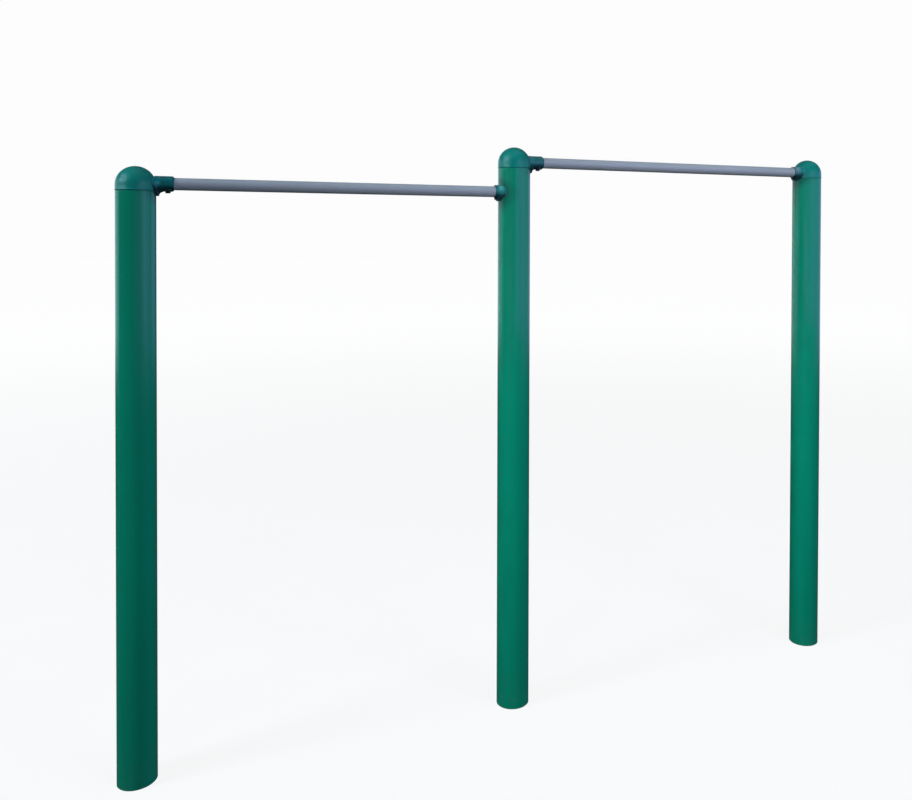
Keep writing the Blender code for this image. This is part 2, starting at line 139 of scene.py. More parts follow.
def calculate(tree, operation, place, first, second, clamp=False):
    """A Math node whose two sides are either sockets or numbers."""
    node = add_node(tree, "ShaderNodeMath", place, operation=operation, use_clamp=clamp)
    for slot, side in zip(node.inputs, (first, second)):
        if isinstance(side, (int, float)):
            slot.default_value = side
        else:
            tree.links.new(side, slot)
    return node.outputs[0]


# %% Helpers for the light of the sky
def add_light(tree, place, below, mask, colour):
    """Adds a colour by a mask to the light gathered so far."""
    node = add_node(tree, "ShaderNodeMix", place, data_type="RGBA", blend_type="ADD")
    tree.links.new(mask, node.inputs["Factor"])
    tree.links.new(below, node.inputs[6])
    node.inputs[7].default_value = (*colour, 1.0)
    return node.outputs[2]


def glow(tree, row, coords, band, toward, start, end):
    """The mask of a glow above the horizon, fading round from the side that it faces."""
    side = add_node(tree, "ShaderNodeVectorMath", (-1050, row), operation="DOT_PRODUCT")
    tree.links.new(coords, side.inputs[0])
    side.inputs[1].default_value = (*toward, 0.0)
    turned = ease(tree, (-830, row), side.outputs["Value"], start, end)
    return calculate(tree, "MULTIPLY", (-600, row), band, turned)


# %% The world
# Heights of a direction, from -1 straight down to 1 straight up, between which each part of the sky comes in.
SKY_STARTS = (-0.16, -0.09)
ZENITH_STARTS = (0.25, 0.9)
BAND_ENDS = (0.34, 0.12)


def soft_world(ground, sky, zenith, glows):
    """White behind the object; for what it lights, a ground, a sky, and glows above the horizon."""
    world = bpy.data.worlds.new("studio")
    world.use_nodes = True
    tree = world.node_tree
    tree.nodes.clear()
    coords = add_node(tree, "ShaderNodeTexCoord", (-1500, 0)).outputs["Generated"]
    split = add_node(tree, "ShaderNodeSeparateXYZ", (-1300, 0))
    tree.links.new(coords, split.inputs[0])
    z = split.outputs["Z"]
    above = ease(tree, (-1050, 500), z, *SKY_STARTS)
    high = ease(tree, (-1050, 250), z, *ZENITH_STARTS)
    band = calculate(tree, "MULTIPLY", (-800, 0), above, ease(tree, (-1050, 0), z, *BAND_ENDS))
    base = add_node(tree, "ShaderNodeRGB", (-600, 400))
    base.outputs[0].default_value = (*ground, 1.0)
    total = add_light(tree, (-400, 400), base.outputs[0], above, sky)
    total = add_light(tree, (-220, 400), total, high, zenith)
    for count, (toward, start, end, colour) in enumerate(glows):
        mask = glow(tree, -300 - 250 * count, coords, band, toward, start, end)
        total = add_light(tree, (-40 + 180 * count, 300), total, mask, colour)
    right = 180 * len(glows)
    lighting = add_node(tree, "ShaderNodeBackground", (right, 100))
    backdrop = add_node(tree, "ShaderNodeBackground", (right, -60),
                        inputs={"Color": (1, 1, 1, 1), "Strength": 0.98})
    path = add_node(tree, "ShaderNodeLightPath", (right, 440))
    choose = add_node(tree, "ShaderNodeMixShader", (right + 200, 0))
    out = add_node(tree, "ShaderNodeOutputWorld", (right + 400, 0))
    tree.links.new(total, lighting.inputs["Color"])
    tree.links.new(path.outputs["Is Camera Ray"], choose.inputs["Fac"])
    tree.links.new(lighting.outputs[0], choose.inputs[1])
    tree.links.new(backdrop.outputs[0], choose.inputs[2])
    tree.links.new(choose.outputs[0], out.inputs["Surface"])
    return world


# Each glow: the way it faces, the cosines of the turn from there where it starts and is full, and its colour.
GLOWS = [
    ((-0.574, 0.819), 0.707, 0.819, (0.85, 1.22, 1.30)),
    ((0.996, -0.087), 0.42, 0.906, (0.42, 0.64, 1.34)),
    ((0.469, -0.883), 0.755, 0.857, (0.14, 0.24, 0.50)),
]
bpy.context.scene.world = soft_world(
    ground=(0.03, 0.03, 0.03), sky=(0.01, 0.01, 0.01), zenith=(0.01, 0.01, 0.01), glows=GLOWS)
bpy.context.scene.view_settings.view_transform = "Standard"
print("sky with", len(GLOWS), "glows")


# %% Soft boxes
def soft_box(name, place, aim, size, power, colour, spread=180.0, only_gloss=False):
    """A rectangular area light turned to a point, never seen itself. It either lights or is reflected."""
    data = bpy.data.lights.new(name, "AREA")
    data.shape = "RECTANGLE"
    data.size, data.size_y = size
    data.energy = power
    data.color = colour
    data.spread = math.radians(spread)
    light = bpy.data.objects.new(name, data)
    light.location = place
    light.rotation_euler = (Vector(aim) - Vector(place)).to_track_quat("-Z", "Y").to_euler()
    light.visible_glossy = only_gloss
    light.visible_diffuse = not only_gloss
    light.visible_camera = False
    bpy.context.scene.collection.objects.link(light)
    return light


# Each light: its place, aim, size, power and colour, then its spread and whether it is only reflected.
SOFT_BOXES = {
    "far_left_box": ((-10.0, -1.5, 6.5), (0.0, 0.0, 1.5), (3.2, 2.8), 635, (0.78, 1.0, 1.18)),
    "far_left_sheen": ((-10.0, -1.5, 6.5), (0.0, 0.0, 1.5), (7.5, 6.5), 700, (0.80, 1.0, 1.25), 180.0, True),
    "front_right_box": ((1.9, -3.6, 2.9), (0.9, 0.0, 1.4), (2.2, 1.4), 31, (0.90, 1.0, 1.14), 120.0),
    "top_box": ((0.0, -0.5, 5.5), (0.0, 0.0, 1.5), (5.0, 3.0), 40, (0.80, 1.0, 1.20)),
    "left_grid_box": ((-4.5, -5.0, 1.5), (0.6, 0.0, 0.9), (1.0, 1.0), 3.4, (0.90, 1.0, 1.10), 26.0),
    "front_grid_box": ((-2.2, -5.5, 1.2), (0.6, 0.0, 0.8), (1.0, 1.0), 0.7, (1.0, 1.0, 0.86), 40.0),
    "blue_card": ((0.95, -1.0, 1.66), (0.95, 0.0, 1.66), (2.3, 0.88), 4.1, (0.30, 0.10, 1.0), 130.0, True),
}
for name, settings in SOFT_BOXES.items():
    soft_box(name, *settings)
print("lights", sorted(SOFT_BOXES))

# %% [markdown]
# ## The floor
#
# A pale floor shows where the posts stand. It is only there for the picture. It
# doesn't shine in the posts' gloss or light the bars from below, as a lawn wouldn't, so those two kinds of
# ray pass it by. It lies a hair below the feet, so that the two faces don't flicker.

# %% Helpers for surfaces
def noise_at(tree, place, coords, scale, detail, roughness=0.5):
    """A noise on the given coordinates."""
    node = add_node(tree, "ShaderNodeTexNoise", place,
                    inputs={"Scale": scale, "Detail": detail, "Roughness": roughness})
    tree.links.new(coords, node.inputs["Vector"])
    return node.outputs["Fac"]


def mix_colour(tree, place, mask, below, above):
    """Lays one colour over another by a mask; each is a socket or a plain colour."""
    node = add_node(tree, "ShaderNodeMix", place, data_type="RGBA")
    tree.links.new(mask, node.inputs["Factor"])
    for slot, side in ((node.inputs[6], below), (node.inputs[7], above)):
        if isinstance(side, tuple):
            slot.default_value = (*side, 1.0)
        else:
            tree.links.new(side, slot)
    return node.outputs[2]


# %% The floor's finish
FLOOR_GREYS = (0.11, 0.14)
FLOOR_GLOW = (0.88, 0.975)
FLOOR_GLOW_REACH = (1.5, 14.0)


def floor_finish():
    """A pale matt floor with a faint mottle. It brightens with distance, as an endless studio floor does."""
    material = bpy.data.materials.new("pale_floor")
    material.use_nodes = True
    tree = material.node_tree
    shader = tree.nodes["Principled BSDF"]
    shader.inputs["Roughness"].default_value = 0.85
    shader.inputs["Specular IOR Level"].default_value = 0.0
    shader.inputs["Emission Strength"].default_value = 1.0
    coords = add_node(tree, "ShaderNodeTexCoord", (-800, 0))
    mottle = noise_at(tree, (-600, 0), coords.outputs["Object"], scale=2.5, detail=6.0)
    darker, lighter = ((grey, grey, grey) for grey in FLOOR_GREYS)
    tree.links.new(mix_colour(tree, (-300, 0), mottle, darker, lighter), shader.inputs["Base Color"])
    away = add_node(tree, "ShaderNodeVectorMath", (-600, -350), operation="LENGTH")
    tree.links.new(coords.outputs["Object"], away.inputs[0])
    far = ease(tree, (-350, -350), away.outputs["Value"], *FLOOR_GLOW_REACH)
    near_glow, far_glow = ((white, white, white) for white in FLOOR_GLOW)
    tree.links.new(mix_colour(tree, (-100, -350), far, near_glow, far_glow), shader.inputs["Emission Color"])
    return material


# %% Lay the floor
FLOOR_SIZE = 60.0
FLOOR_DROP = 0.0005
floor_mesh = bmesh.new()
bmesh.ops.create_grid(floor_mesh, x_segments=4, y_segments=4, size=FLOOR_SIZE)
bmesh.ops.translate(floor_mesh, verts=floor_mesh.verts, vec=(0, 0, -FLOOR_DROP))
floor_data = bpy.data.meshes.new("floor")
floor_mesh.to_mesh(floor_data)
floor_mesh.free()
floor = bpy.data.objects.new("floor", floor_data)
floor.data.materials.append(floor_finish())
floor.visible_glossy = False
floor.visible_diffuse = False
bpy.context.scene.collection.objects.link(floor)
print("floor at", -FLOOR_DROP)

# %% [markdown]
# ## What the finishes share
#
# Powder coat isn't flat: it dries with a fine ripple like the skin of an orange, its colour drifts a little
# over a large surface, dust settles on what faces up, and the paint thins on proud edges. Four node groups
# hold these effects, so that each material can use them with its own amounts. They put out colours,
# masks and a height.

# %% Node group helpers
def new_group(name, inputs, outputs):
    """An empty shader node group with named sockets, and its two end nodes."""
    group = bpy.data.node_groups.new(name, "ShaderNodeTree")
    for label, kind, value in inputs:
        socket = group.interface.new_socket(label, in_out="INPUT", socket_type=kind)
        if value is not None:
            socket.default_value = value
    for label, kind in outputs:
        group.interface.new_socket(label, in_out="OUTPUT", socket_type=kind)
    start = add_node(group, "NodeGroupInput", (-1200, 0))
    end = add_node(group, "NodeGroupOutput", (600, 0))
    return group, start, end


# %% Ripple of the powder coat
def paint_ripple():
    """Height of the coat: a fine orange peel over long, shallow waves."""
    group, start, end = new_group(
        "paint_ripple",
        [("Vector", "NodeSocketVector", None), ("Peel", "NodeSocketFloat", 0.5),
         ("Waves", "NodeSocketFloat", 0.5)],
        [("Height", "NodeSocketFloat")],
    )
    peel = noise_at(group, (-900, 150), start.outputs["Vector"], scale=420.0, detail=1.0)
    wave = noise_at(group, (-900, -150), start.outputs["Vector"], scale=24.0, detail=2.0)
    fine = calculate(group, "MULTIPLY", (-600, 150), peel, start.outputs["Peel"])
    broad = calculate(group, "MULTIPLY", (-600, -150), wave, start.outputs["Waves"])
    group.links.new(calculate(group, "ADD", (-300, 0), fine, broad), end.inputs["Height"])
    return group


# %% Drift of the colour
def colour_drift():
    """The paint's colour, a little lighter and darker in soft clouds and in upright wash marks."""
    group, start, end = new_group(
        "colour_drift",
        [("Vector", "NodeSocketVector", None), ("Color", "NodeSocketColor", (0.5, 0.5, 0.5, 1)),
         ("Clouds", "NodeSocketFloat", 0.1), ("Streaks", "NodeSocketFloat", 0.1)],
        [("Color", "NodeSocketColor"), ("Cloud", "NodeSocketFloat")],
    )
    squeeze = add_node(group, "ShaderNodeMapping", (-1050, -150), inputs={"Scale": (70.0, 70.0, 1.3)})
    group.links.new(start.outputs["Vector"], squeeze.inputs["Vector"])
    cloud = noise_at(group, (-900, 200), start.outputs["Vector"], scale=3.2, detail=4.0)
    streak = noise_at(group, (-850, -150), squeeze.outputs["Vector"], scale=1.0, detail=3.0)
    about = calculate(group, "SUBTRACT", (-650, 200), cloud, 0.5)
    lines = calculate(group, "SUBTRACT", (-650, -150), streak, 0.5)
    clouds = calculate(group, "MULTIPLY", (-450, 200), about, start.outputs["Clouds"])
    streaks = calculate(group, "MULTIPLY", (-450, -150), lines, start.outputs["Streaks"])
    change = calculate(group, "ADD", (-250, 0), clouds, streaks)
    value = calculate(group, "ADD", (-80, 0), change, 1.0)
    shade = add_node(group, "ShaderNodeHueSaturation", (120, 0))
    group.links.new(start.outputs["Color"], shade.inputs["Color"])
    group.links.new(value, shade.inputs["Value"])
    group.links.new(shade.outputs["Color"], end.inputs["Color"])
    group.links.new(cloud, end.inputs["Cloud"])
    return group


# %% Dust that has settled
def settled_dust():
    """A mask of dust: on what faces up, and splashed on the first hand's breadth above the ground."""
    group, start, end = new_group(
        "settled_dust",
        [("Vector", "NodeSocketVector", None), ("Upward", "NodeSocketFloat", 0.5),
         ("Splash", "NodeSocketFloat", 0.5)],
        [("Mask", "NodeSocketFloat")],
    )
    patch = noise_at(group, (-1000, 250), start.outputs["Vector"], scale=38.0, detail=7.0, roughness=0.65)
    facing = add_node(group, "ShaderNodeNewGeometry", (-1000, -50))
    split = add_node(group, "ShaderNodeSeparateXYZ", (-820, -50))
    group.links.new(facing.outputs["Normal"], split.inputs[0])
    up = map_range(group, (-620, -50), split.outputs["Z"], 0.35, 1.0)
    place = add_node(group, "ShaderNodeSeparateXYZ", (-820, -300))
    group.links.new(start.outputs["Vector"], place.inputs[0])
    low = ease(group, (-620, -300), place.outputs["Z"], 0.16, 0.0)
    top = calculate(group, "MULTIPLY", (-400, -50), up, start.outputs["Upward"])
    foot = calculate(group, "MULTIPLY", (-400, -300), low, start.outputs["Splash"])
    both = calculate(group, "ADD", (-200, -150), top, foot, clamp=True)
    spots = map_range(group, (-700, 250), patch, 0.38, 0.72)
    group.links.new(calculate(group, "MULTIPLY", (0, 0), both, spots), end.inputs["Mask"])
    return group


# %% Wear on proud rims
def worn_rims():
    """A mask of thinned paint, broken up by noise, on the rims that a piece carries as its rim attribute."""
    group, start, end = new_group(
        "worn_rims",
        [("Vector", "NodeSocketVector", None), ("Amount", "NodeSocketFloat", 0.5)],
        [("Mask", "NodeSocketFloat")],
    )
    rim = add_node(group, "ShaderNodeAttribute", (-900, 150), attribute_name="rim")
    crumbs = noise_at(group, (-900, -100), start.outputs["Vector"], scale=160.0, detail=5.0, roughness=0.7)
    lift = calculate(group, "MULTIPLY", (-600, 150), rim.outputs["Fac"], start.outputs["Amount"])
    total = calculate(group, "ADD", (-400, 0), lift, crumbs)
    group.links.new(map_range(group, (-150, 0), total, 0.98, 1.12), end.inputs["Mask"])
    return group


GROUPS = {made.name: made for made in (paint_ripple(), colour_drift(), settled_dust(), worn_rims())}
print("groups", sorted(GROUPS))

# %% [markdown]
# ## The finishes
#
# Six finishes cover the whole object: gloss green powder coat on the tubes, the same coat on the caps where
# the grain of the sand mould shows through, a copy on the sockets painted a little darker and bluer for
# their shade and worn more at the rims, satin grey paint on the grip bars, zinc plate on the fasteners, and
# dull galvanising on the foot discs. Each one is a Principled shader, fed by the groups above.

# %% Helpers for the finishes
def use_group(tree, name, place, coords, **values):
    """Places a shared group in a material, on its coordinates, with its own amounts."""
    node = add_node(tree, "ShaderNodeGroup", place, node_tree=GROUPS[name])
    tree.links.new(coords, node.inputs["Vector"])
    for label, value in values.items():
        node.inputs[label].default_value = value
    return node


def start_finish(name, roughness, metallic=0.0):
    """A material with its shader and object coordinates ready."""
    material = bpy.data.materials.new(name)
    material.use_nodes = True
    tree = material.node_tree
    shader = tree.nodes["Principled BSDF"]
    shader.location = (500, 0)
    shader.inputs["Roughness"].default_value = roughness
    shader.inputs["Metallic"].default_value = metallic
    coords = add_node(tree, "ShaderNodeTexCoord", (-1300, 0)).outputs["Object"]
    return material, tree, shader, coords


def bump_from(tree, height, shader, distance):
    """Feeds a height to the shader's normal."""
    node = add_node(tree, "ShaderNodeBump", (250, -300), inputs={"Distance": distance})
    tree.links.new(height, node.inputs["Height"])
    tree.links.new(node.outputs["Normal"], shader.inputs["Normal"])


# %% Green powder coat
DUST = (0.30, 0.29, 0.25)
# Near-black for painted shade round the sockets, under them and in their mouths.
PAINTED_SHADE = (0.004, 0.016, 0.022)
# Pale slate grey: chalking of the coat, and a painted sheen of the sky on the sockets' tops.
CHALK_AND_SHEEN = (0.190, 0.265, 0.290)


def green_coat(name, colour, roughness, peel, waves, grain, wear, upward, splash):
    """Gloss green coat; grain is the sand-cast roughness under it, in the same height as the ripple."""
    material, tree, shader, coords = start_finish(name, roughness)
    shader.inputs["Specular IOR Level"].default_value = 0.375
    drift = use_group(tree, "colour_drift", (-900, 250), coords, Color=(*colour, 1.0), Clouds=0.16,
                      Streaks=0.14)
    dust = use_group(tree, "settled_dust", (-900, -50), coords, Upward=upward, Splash=splash)
    rims = use_group(tree, "worn_rims", (-900, -250), coords, Amount=wear)
    ripple = use_group(tree, "paint_ripple", (-900, -450), coords, Peel=peel, Waves=waves)
    primer = tuple(0.6 * c + 0.10 for c in colour)
    film = noise_at(tree, (-1100, 760), coords, scale=240.0, detail=4.0)
    uneven = calculate(tree, "ADD", (-900, 760), film, 0.45)
    # The painted shade stored on the points darkens the coat towards near-black.
    painted_shade = add_node(tree, "ShaderNodeAttribute", (-1100, 560), attribute_name="painted_shade")
    shade_mask = calculate(tree, "MULTIPLY", (-700, 620), painted_shade.outputs["Fac"], uneven, clamp=True)
    # The pale grey is chalk and a painted sheen, on the top of a socket's barrel.
    chalk_and_sheen = add_node(tree, "ShaderNodeAttribute", (-1100, 960), attribute_name="chalk_and_sheen")
    patchy = calculate(tree, "MULTIPLY", (-700, 900), chalk_and_sheen.outputs["Fac"], uneven, clamp=True)
    chalk_and_sheen_mixed = mix_colour(tree, (-750, 400), patchy, drift.outputs["Color"], CHALK_AND_SHEEN)
    shaded_colour = mix_colour(tree, (-600, 400), shade_mask, chalk_and_sheen_mixed, PAINTED_SHADE)
    dusty = mix_colour(tree, (-450, 250), dust.outputs["Mask"], shaded_colour, DUST)
    worn = mix_colour(tree, (-250, 250), rims.outputs["Mask"], dusty, primer)
    tree.links.new(worn, shader.inputs["Base Color"])

    cloudy = calculate(tree, "MULTIPLY", (-500, 0), drift.outputs["Cloud"], 0.10)
    matt = calculate(tree, "MULTIPLY", (-500, -120), dust.outputs["Mask"], 0.45)
    scuffed = calculate(tree, "MULTIPLY", (-500, -240), rims.outputs["Mask"], 0.25)
    partly = calculate(tree, "ADD", (-250, -60), cloudy, matt)
    most = calculate(tree, "ADD", (-80, -120), partly, scuffed)
    tree.links.new(calculate(tree, "ADD", (80, -120), most, roughness - 0.05), shader.inputs["Roughness"])

    sand = noise_at(tree, (-900, -650), coords, scale=750.0, detail=4.0, roughness=0.7)
    cast = calculate(tree, "MULTIPLY", (-500, -600), sand, grain)
    height = calculate(tree, "ADD", (-200, -500), ripple.outputs["Height"], cast)
    bump_from(tree, height, shader, distance=0.0004)
    return material


# %% Grey grip paint
GRIP_PAINT = (0.375, 0.392, 0.422)
RUBBED_PAINT = (0.45, 0.462, 0.485)
DUSTY_PAINT = (0.42, 0.41, 0.40)


def grip_paint():
    """Satin grey paint with a fine tooth, rubbed smoother and lighter where hands have held it."""
    material, tree, shader, coords = start_finish("grey_grip_paint", roughness=0.42)
    drift = use_group(tree, "colour_drift", (-900, 300), coords, Color=(*GRIP_PAINT, 1.0), Clouds=0.14,
                      Streaks=0.0)
    ripple = use_group(tree, "paint_ripple", (-900, -250), coords, Peel=0.35, Waves=0.25)
    dust = use_group(tree, "settled_dust", (-900, 0), coords, Upward=0.16, Splash=0.0)
    grip = add_node(tree, "ShaderNodeAttribute", (-1100, 560), attribute_name="grip")
    stretch = add_node(tree, "ShaderNodeMapping", (-1300, 760), inputs={"Scale": (0.25, 1.0, 1.0)})
    tree.links.new(coords, stretch.inputs["Vector"])
    rub = noise_at(tree, (-1100, 760), stretch.outputs["Vector"], scale=55.0, detail=6.0, roughness=0.6)
    hands = calculate(tree, "MULTIPLY", (-850, 620), grip.outputs["Fac"], rub)
    soft = map_range(tree, (-650, 620), hands, 0.30, 0.62)
    held = calculate(tree, "MULTIPLY", (-450, 620), soft, 0.38)
    rubbed = mix_colour(tree, (-300, 350), held, drift.outputs["Color"], RUBBED_PAINT)
    dusty = mix_colour(tree, (-50, 350), dust.outputs["Mask"], rubbed, DUSTY_PAINT)
    tree.links.new(dusty, shader.inputs["Base Color"])
    cloudy = calculate(tree, "MULTIPLY", (-500, -60), drift.outputs["Cloud"], 0.16)
    polished = calculate(tree, "MULTIPLY", (-500, -180), soft, -0.10)
    changes = calculate(tree, "ADD", (-250, -120), cloudy, polished)
    tree.links.new(calculate(tree, "ADD", (0, -120), changes, 0.36), shader.inputs["Roughness"])
    tooth = noise_at(tree, (-900, -500), coords, scale=1400.0, detail=2.0)
    fine = calculate(tree, "MULTIPLY", (-500, -450), tooth, 0.30)
    height = calculate(tree, "ADD", (-200, -400), ripple.outputs["Height"], fine)
    bump_from(tree, height, shader, distance=0.0003)
    return material


# %% Zinc and galvanising
ZINC_GREY = (0.60, 0.60, 0.60)
ZINC_STAIN = (0.30, 0.27, 0.22)
CRYSTAL_DARK = (0.34, 0.35, 0.36)
CRYSTAL_PALE = (0.50, 0.51, 0.52)


def zinc_plate():
    """Bright zinc on small fasteners, clouded by handling."""
    material, tree, shader, coords = start_finish("zinc_plate", roughness=0.32, metallic=1.0)
    drift = use_group(tree, "colour_drift", (-900, 250), coords, Color=(*ZINC_GREY, 1.0), Clouds=0.2,
                      Streaks=0.0)
    stain = noise_at(tree, (-900, -50), coords, scale=260.0, detail=5.0)
    spots = map_range(tree, (-650, -50), stain, 0.5, 0.75, high=0.5)
    tree.links.new(mix_colour(tree, (-300, 200), spots, drift.outputs["Color"], ZINC_STAIN),
                   shader.inputs["Base Color"])
    rough = map_range(tree, (-300, -150), stain, 0.0, 1.0, low=0.24, high=0.50)
    tree.links.new(rough, shader.inputs["Roughness"])
    bump_from(tree, stain, shader, distance=0.00005)
    return material


def galvanised():
    """Dull grey zinc in crystals the size of a thumbnail."""
    material, tree, shader, coords = start_finish("galvanised_steel", roughness=0.5, metallic=0.9)
    crystals = add_node(tree, "ShaderNodeTexVoronoi", (-900, 100), inputs={"Scale": 110.0})
    tree.links.new(coords, crystals.inputs["Vector"])
    grey = add_node(tree, "ShaderNodeSeparateColor", (-650, 100))
    tree.links.new(crystals.outputs["Color"], grey.inputs["Color"])
    tree.links.new(mix_colour(tree, (-300, 150), grey.outputs["Red"], CRYSTAL_DARK, CRYSTAL_PALE),
                   shader.inputs["Base Color"])
    rough = map_range(tree, (-300, -150), grey.outputs["Green"], 0.0, 1.0, low=0.38, high=0.62)
    tree.links.new(rough, shader.inputs["Roughness"])
    bump_from(tree, grey.outputs["Blue"], shader, distance=0.00004)
    return material


# %% Make the finishes
TUBE_GREEN = green_coat("green_tube_coat", (0.001, 0.262, 0.148), roughness=0.15, peel=0.22, waves=0.30,
                        grain=0.0, wear=0.30, upward=0.10, splash=0.05)
CAST_GREEN = green_coat("green_casting_coat", (0.001, 0.240, 0.186), roughness=0.33, peel=0.30, waves=0.35,
                        grain=0.16, wear=0.42, upward=0.10, splash=0.0)
# The sockets' coat: the cast coat painted a little darker and bluer for the shade they sit in.
SHADED_SOCKET_GREEN = green_coat("shaded_green_socket_coat", (0.001, 0.225, 0.215), roughness=0.26, peel=0.30, waves=0.45,
                          grain=0.20, wear=0.70, upward=0.08, splash=0.0)
GRIP_GREY = grip_paint()
ZINC = zinc_plate()
GALVANISED = galvanised()
print("finishes", len(bpy.data.materials))

# %% [markdown]
# ## How the pieces are made
#
# Every piece here was turned, drawn or cast, so most of them start as half a section: a wire of a few
# points, spun once round its axis. A section is quick to check against a drawing, and the spin closes
# itself. Holes are cut with a Boolean that is applied at once, so the finished piece is a plain mesh.

# %% Sections and spins
def section(points):
    """A wire through points given as (distance from the axis, height), drawn out vertex by vertex."""
    bm = bmesh.new()
    pen = bm.verts.new((points[0][0], 0.0, points[0][1]))
    for out, up in points[1:]:
        pen = bmesh.ops.extrude_vert_indiv(bm, verts=[pen])["verts"][0]
        pen.co = (out, 0.0, up)
    return bm


def close_section(bm):
    """Joins the wire's two ends, for a ring-shaped piece."""
    ends = [v for v in bm.verts if len(v.link_edges) == 1]
    bmesh.ops.contextual_create(bm, geom=ends)
    return bm


def spin_round(bm, steps):
    """Spins the section a full turn round Z."""
    bmesh.ops.spin(bm, geom=bm.verts[:] + bm.edges[:], cent=(0, 0, 0), axis=(0, 0, 1), angle=2 * math.pi,
                   steps=steps, use_merge=True)
    bmesh.ops.remove_doubles(bm, verts=bm.verts, dist=2e-6)
    bmesh.ops.recalc_face_normals(bm, faces=bm.faces)
    return bm


def arc(centre, radius, start, end, steps):
    """Points on an arc of a section, by elevation in degrees from the horizontal."""
    turns = [math.radians(start + (end - start) * i / steps) for i in range(steps + 1)]
    return [(centre[0] + radius * math.cos(a), centre[1] + radius * math.sin(a)) for a in turns]


def lay(bm, axis):
    """Tips what was spun round Z over, so that its axis points along +X, -X or +Y."""
    turn = {"+X": (math.pi / 2, "Y"), "-X": (-math.pi / 2, "Y"), "+Y": (-math.pi / 2, "X")}[axis]
    bmesh.ops.rotate(bm, verts=bm.verts, cent=(0, 0, 0), matrix=Matrix.Rotation(turn[0], 3, turn[1]))
    return bm


def shift(bm, offset):
    """Moves the whole shape."""
    bmesh.ops.translate(bm, verts=bm.verts, vec=offset)
    return bm


def rod(radius, length, sides=32):
    """A closed rod along Z, centred on the origin, to cut with or to join on."""
    bm = bmesh.new()
    bmesh.ops.create_cone(bm, cap_ends=True, segments=sides, radius1=radius, radius2=radius, depth=length)
    return bm


# %% Rims, for the wear
RIM_START = 150.0
RIM_FULL = 650.0


def fade(value, start, end):
    """0 at the start and 1 at the end, with an even rise between them."""
    return min(max((value - start) / (end - start), 0.0), 1.0)


def store(mesh, label, values):
    """Stores one value for each point of a mesh, for the paint to read."""
    mesh.attributes.new(label, "FLOAT", "POINT").data.foreach_set("value", values)


def mark_rims(mesh):
    """Stores how proud each point stands, for the worn paint: 1 on a tight outside edge, 0 on a flat."""
    bm = bmesh.new()
    bm.from_mesh(mesh)
    bm.normal_update()
    sharpness = []
    for v in bm.verts:
        tightest = 0.0
        for e in v.link_edges:
            away = v.co - e.other_vert(v).co
            tightest = max(tightest, 2 * away.dot(v.normal) / max(away.length_squared, 1e-8))
        sharpness.append(fade(tightest, RIM_START, RIM_FULL))
    bm.free()
    store(mesh, "rim", sharpness)


# %% From a bmesh to a finished piece
SHARP_FROM = math.radians(32.0)


def make_object(name, bm):
    """A new object at the origin from a bmesh, which is then freed."""
    data = bpy.data.meshes.new(name)
    bm.to_mesh(data)
    bm.free()
    piece = bpy.data.objects.new(name, data)
    bpy.context.scene.collection.objects.link(piece)
    return piece


def cut(piece, bm, operation="DIFFERENCE"):
    """Cuts a shape out of the piece, or joins it on, and applies that at once."""
    tool = make_object("cutting_shape", bm)
    change = piece.modifiers.new("cut", "BOOLEAN")
    change.solver = "EXACT"
    change.operation = operation
    change.object = tool
    old = piece.data
    piece.data = bpy.data.meshes.new_from_object(piece.evaluated_get(bpy.context.evaluated_depsgraph_get()))
    piece.modifiers.clear()
    piece.data.name = piece.name
    bpy.data.meshes.remove(old)
    bpy.data.objects.remove(tool)
    return piece


def finish(piece, material, node):
    """Smooths the piece, marks its rims, paints it, and puts it in the place of its solid."""
    mesh = piece.data
    mesh.shade_smooth()
    mesh.set_sharp_from_angle(angle=SHARP_FROM)
    mark_rims(mesh)
    mesh.materials.clear()
    mesh.materials.append(material)
    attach(piece, "root")
    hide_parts(node)
    print(piece.name, len(mesh.polygons), "faces")
    return piece


# %% [markdown]
# ## The posts
#
# Each post is a length of drawn steel tube, cut square. The saw's burr is filed off, which leaves a tiny
# bevel at both ends; the upper one catches the light as the thin line under the cap's seam. The spin has
# many sides, so that the gloss runs down the tube without facets, and short faces near the screw's hole
# keep its shading clean. The rings below the cap lie close together, because the painted shade round the
# sockets is stored on their points.

# %% Where painted shade lies round the sockets
POST_RADIUS = 0.057
HALO_EDGE = 0.062
HALO_FULL = 0.038
HALO_ABOVE = 0.06
STREAK_LENGTH = 0.20
STREAK_HALF_WIDTH = 0.026
SEATS = {"left": [(1, "low_bar")], "middle": [(-1, "low_bar"), (1, "high_bar")], "right": [(-1, "high_bar")]}


def paint_shade_around(piece, side, most):
    """Stores painted shade: a dark halo round each socket's flange and a darker streak hanging below it."""
    painted_shade = []
    for v in piece.data.vertices:
        darkening = 0.0
        for toward, bar in SEATS[side]:
            facing = (v.co.x - POSTS[side]) * toward
            drop = BARS[bar] - v.co.z
            if facing > 0.0 and -HALO_ABOVE < drop < STREAK_LENGTH:
                halo = fade(math.hypot(v.co.y, 0.85 * drop - 0.006), HALO_EDGE, HALO_FULL)
                streak = fade(abs(v.co.y), STREAK_HALF_WIDTH, 0.0) * fade(drop, STREAK_LENGTH, 0.0)
                darkening = max(darkening, most * halo, 0.8 * most * streak * (drop > 0.02))
        painted_shade.append(darkening)
    store(piece.data, "painted_shade", painted_shade)


# %% Turn the tubes
POST_BORE = 0.054
TUBE_SIDES = 144
FOOT_BEVEL = 0.0009
TOP_BEVEL = 0.0008
SCREW_BELOW_TOP = 0.020
CAP_SCREW_HOLE = 0.0033
DRILL_LENGTH = 0.06
LOW_RINGS = (0.3, 0.9)
DIRT_RINGS = 32
RING_STEP = 0.007


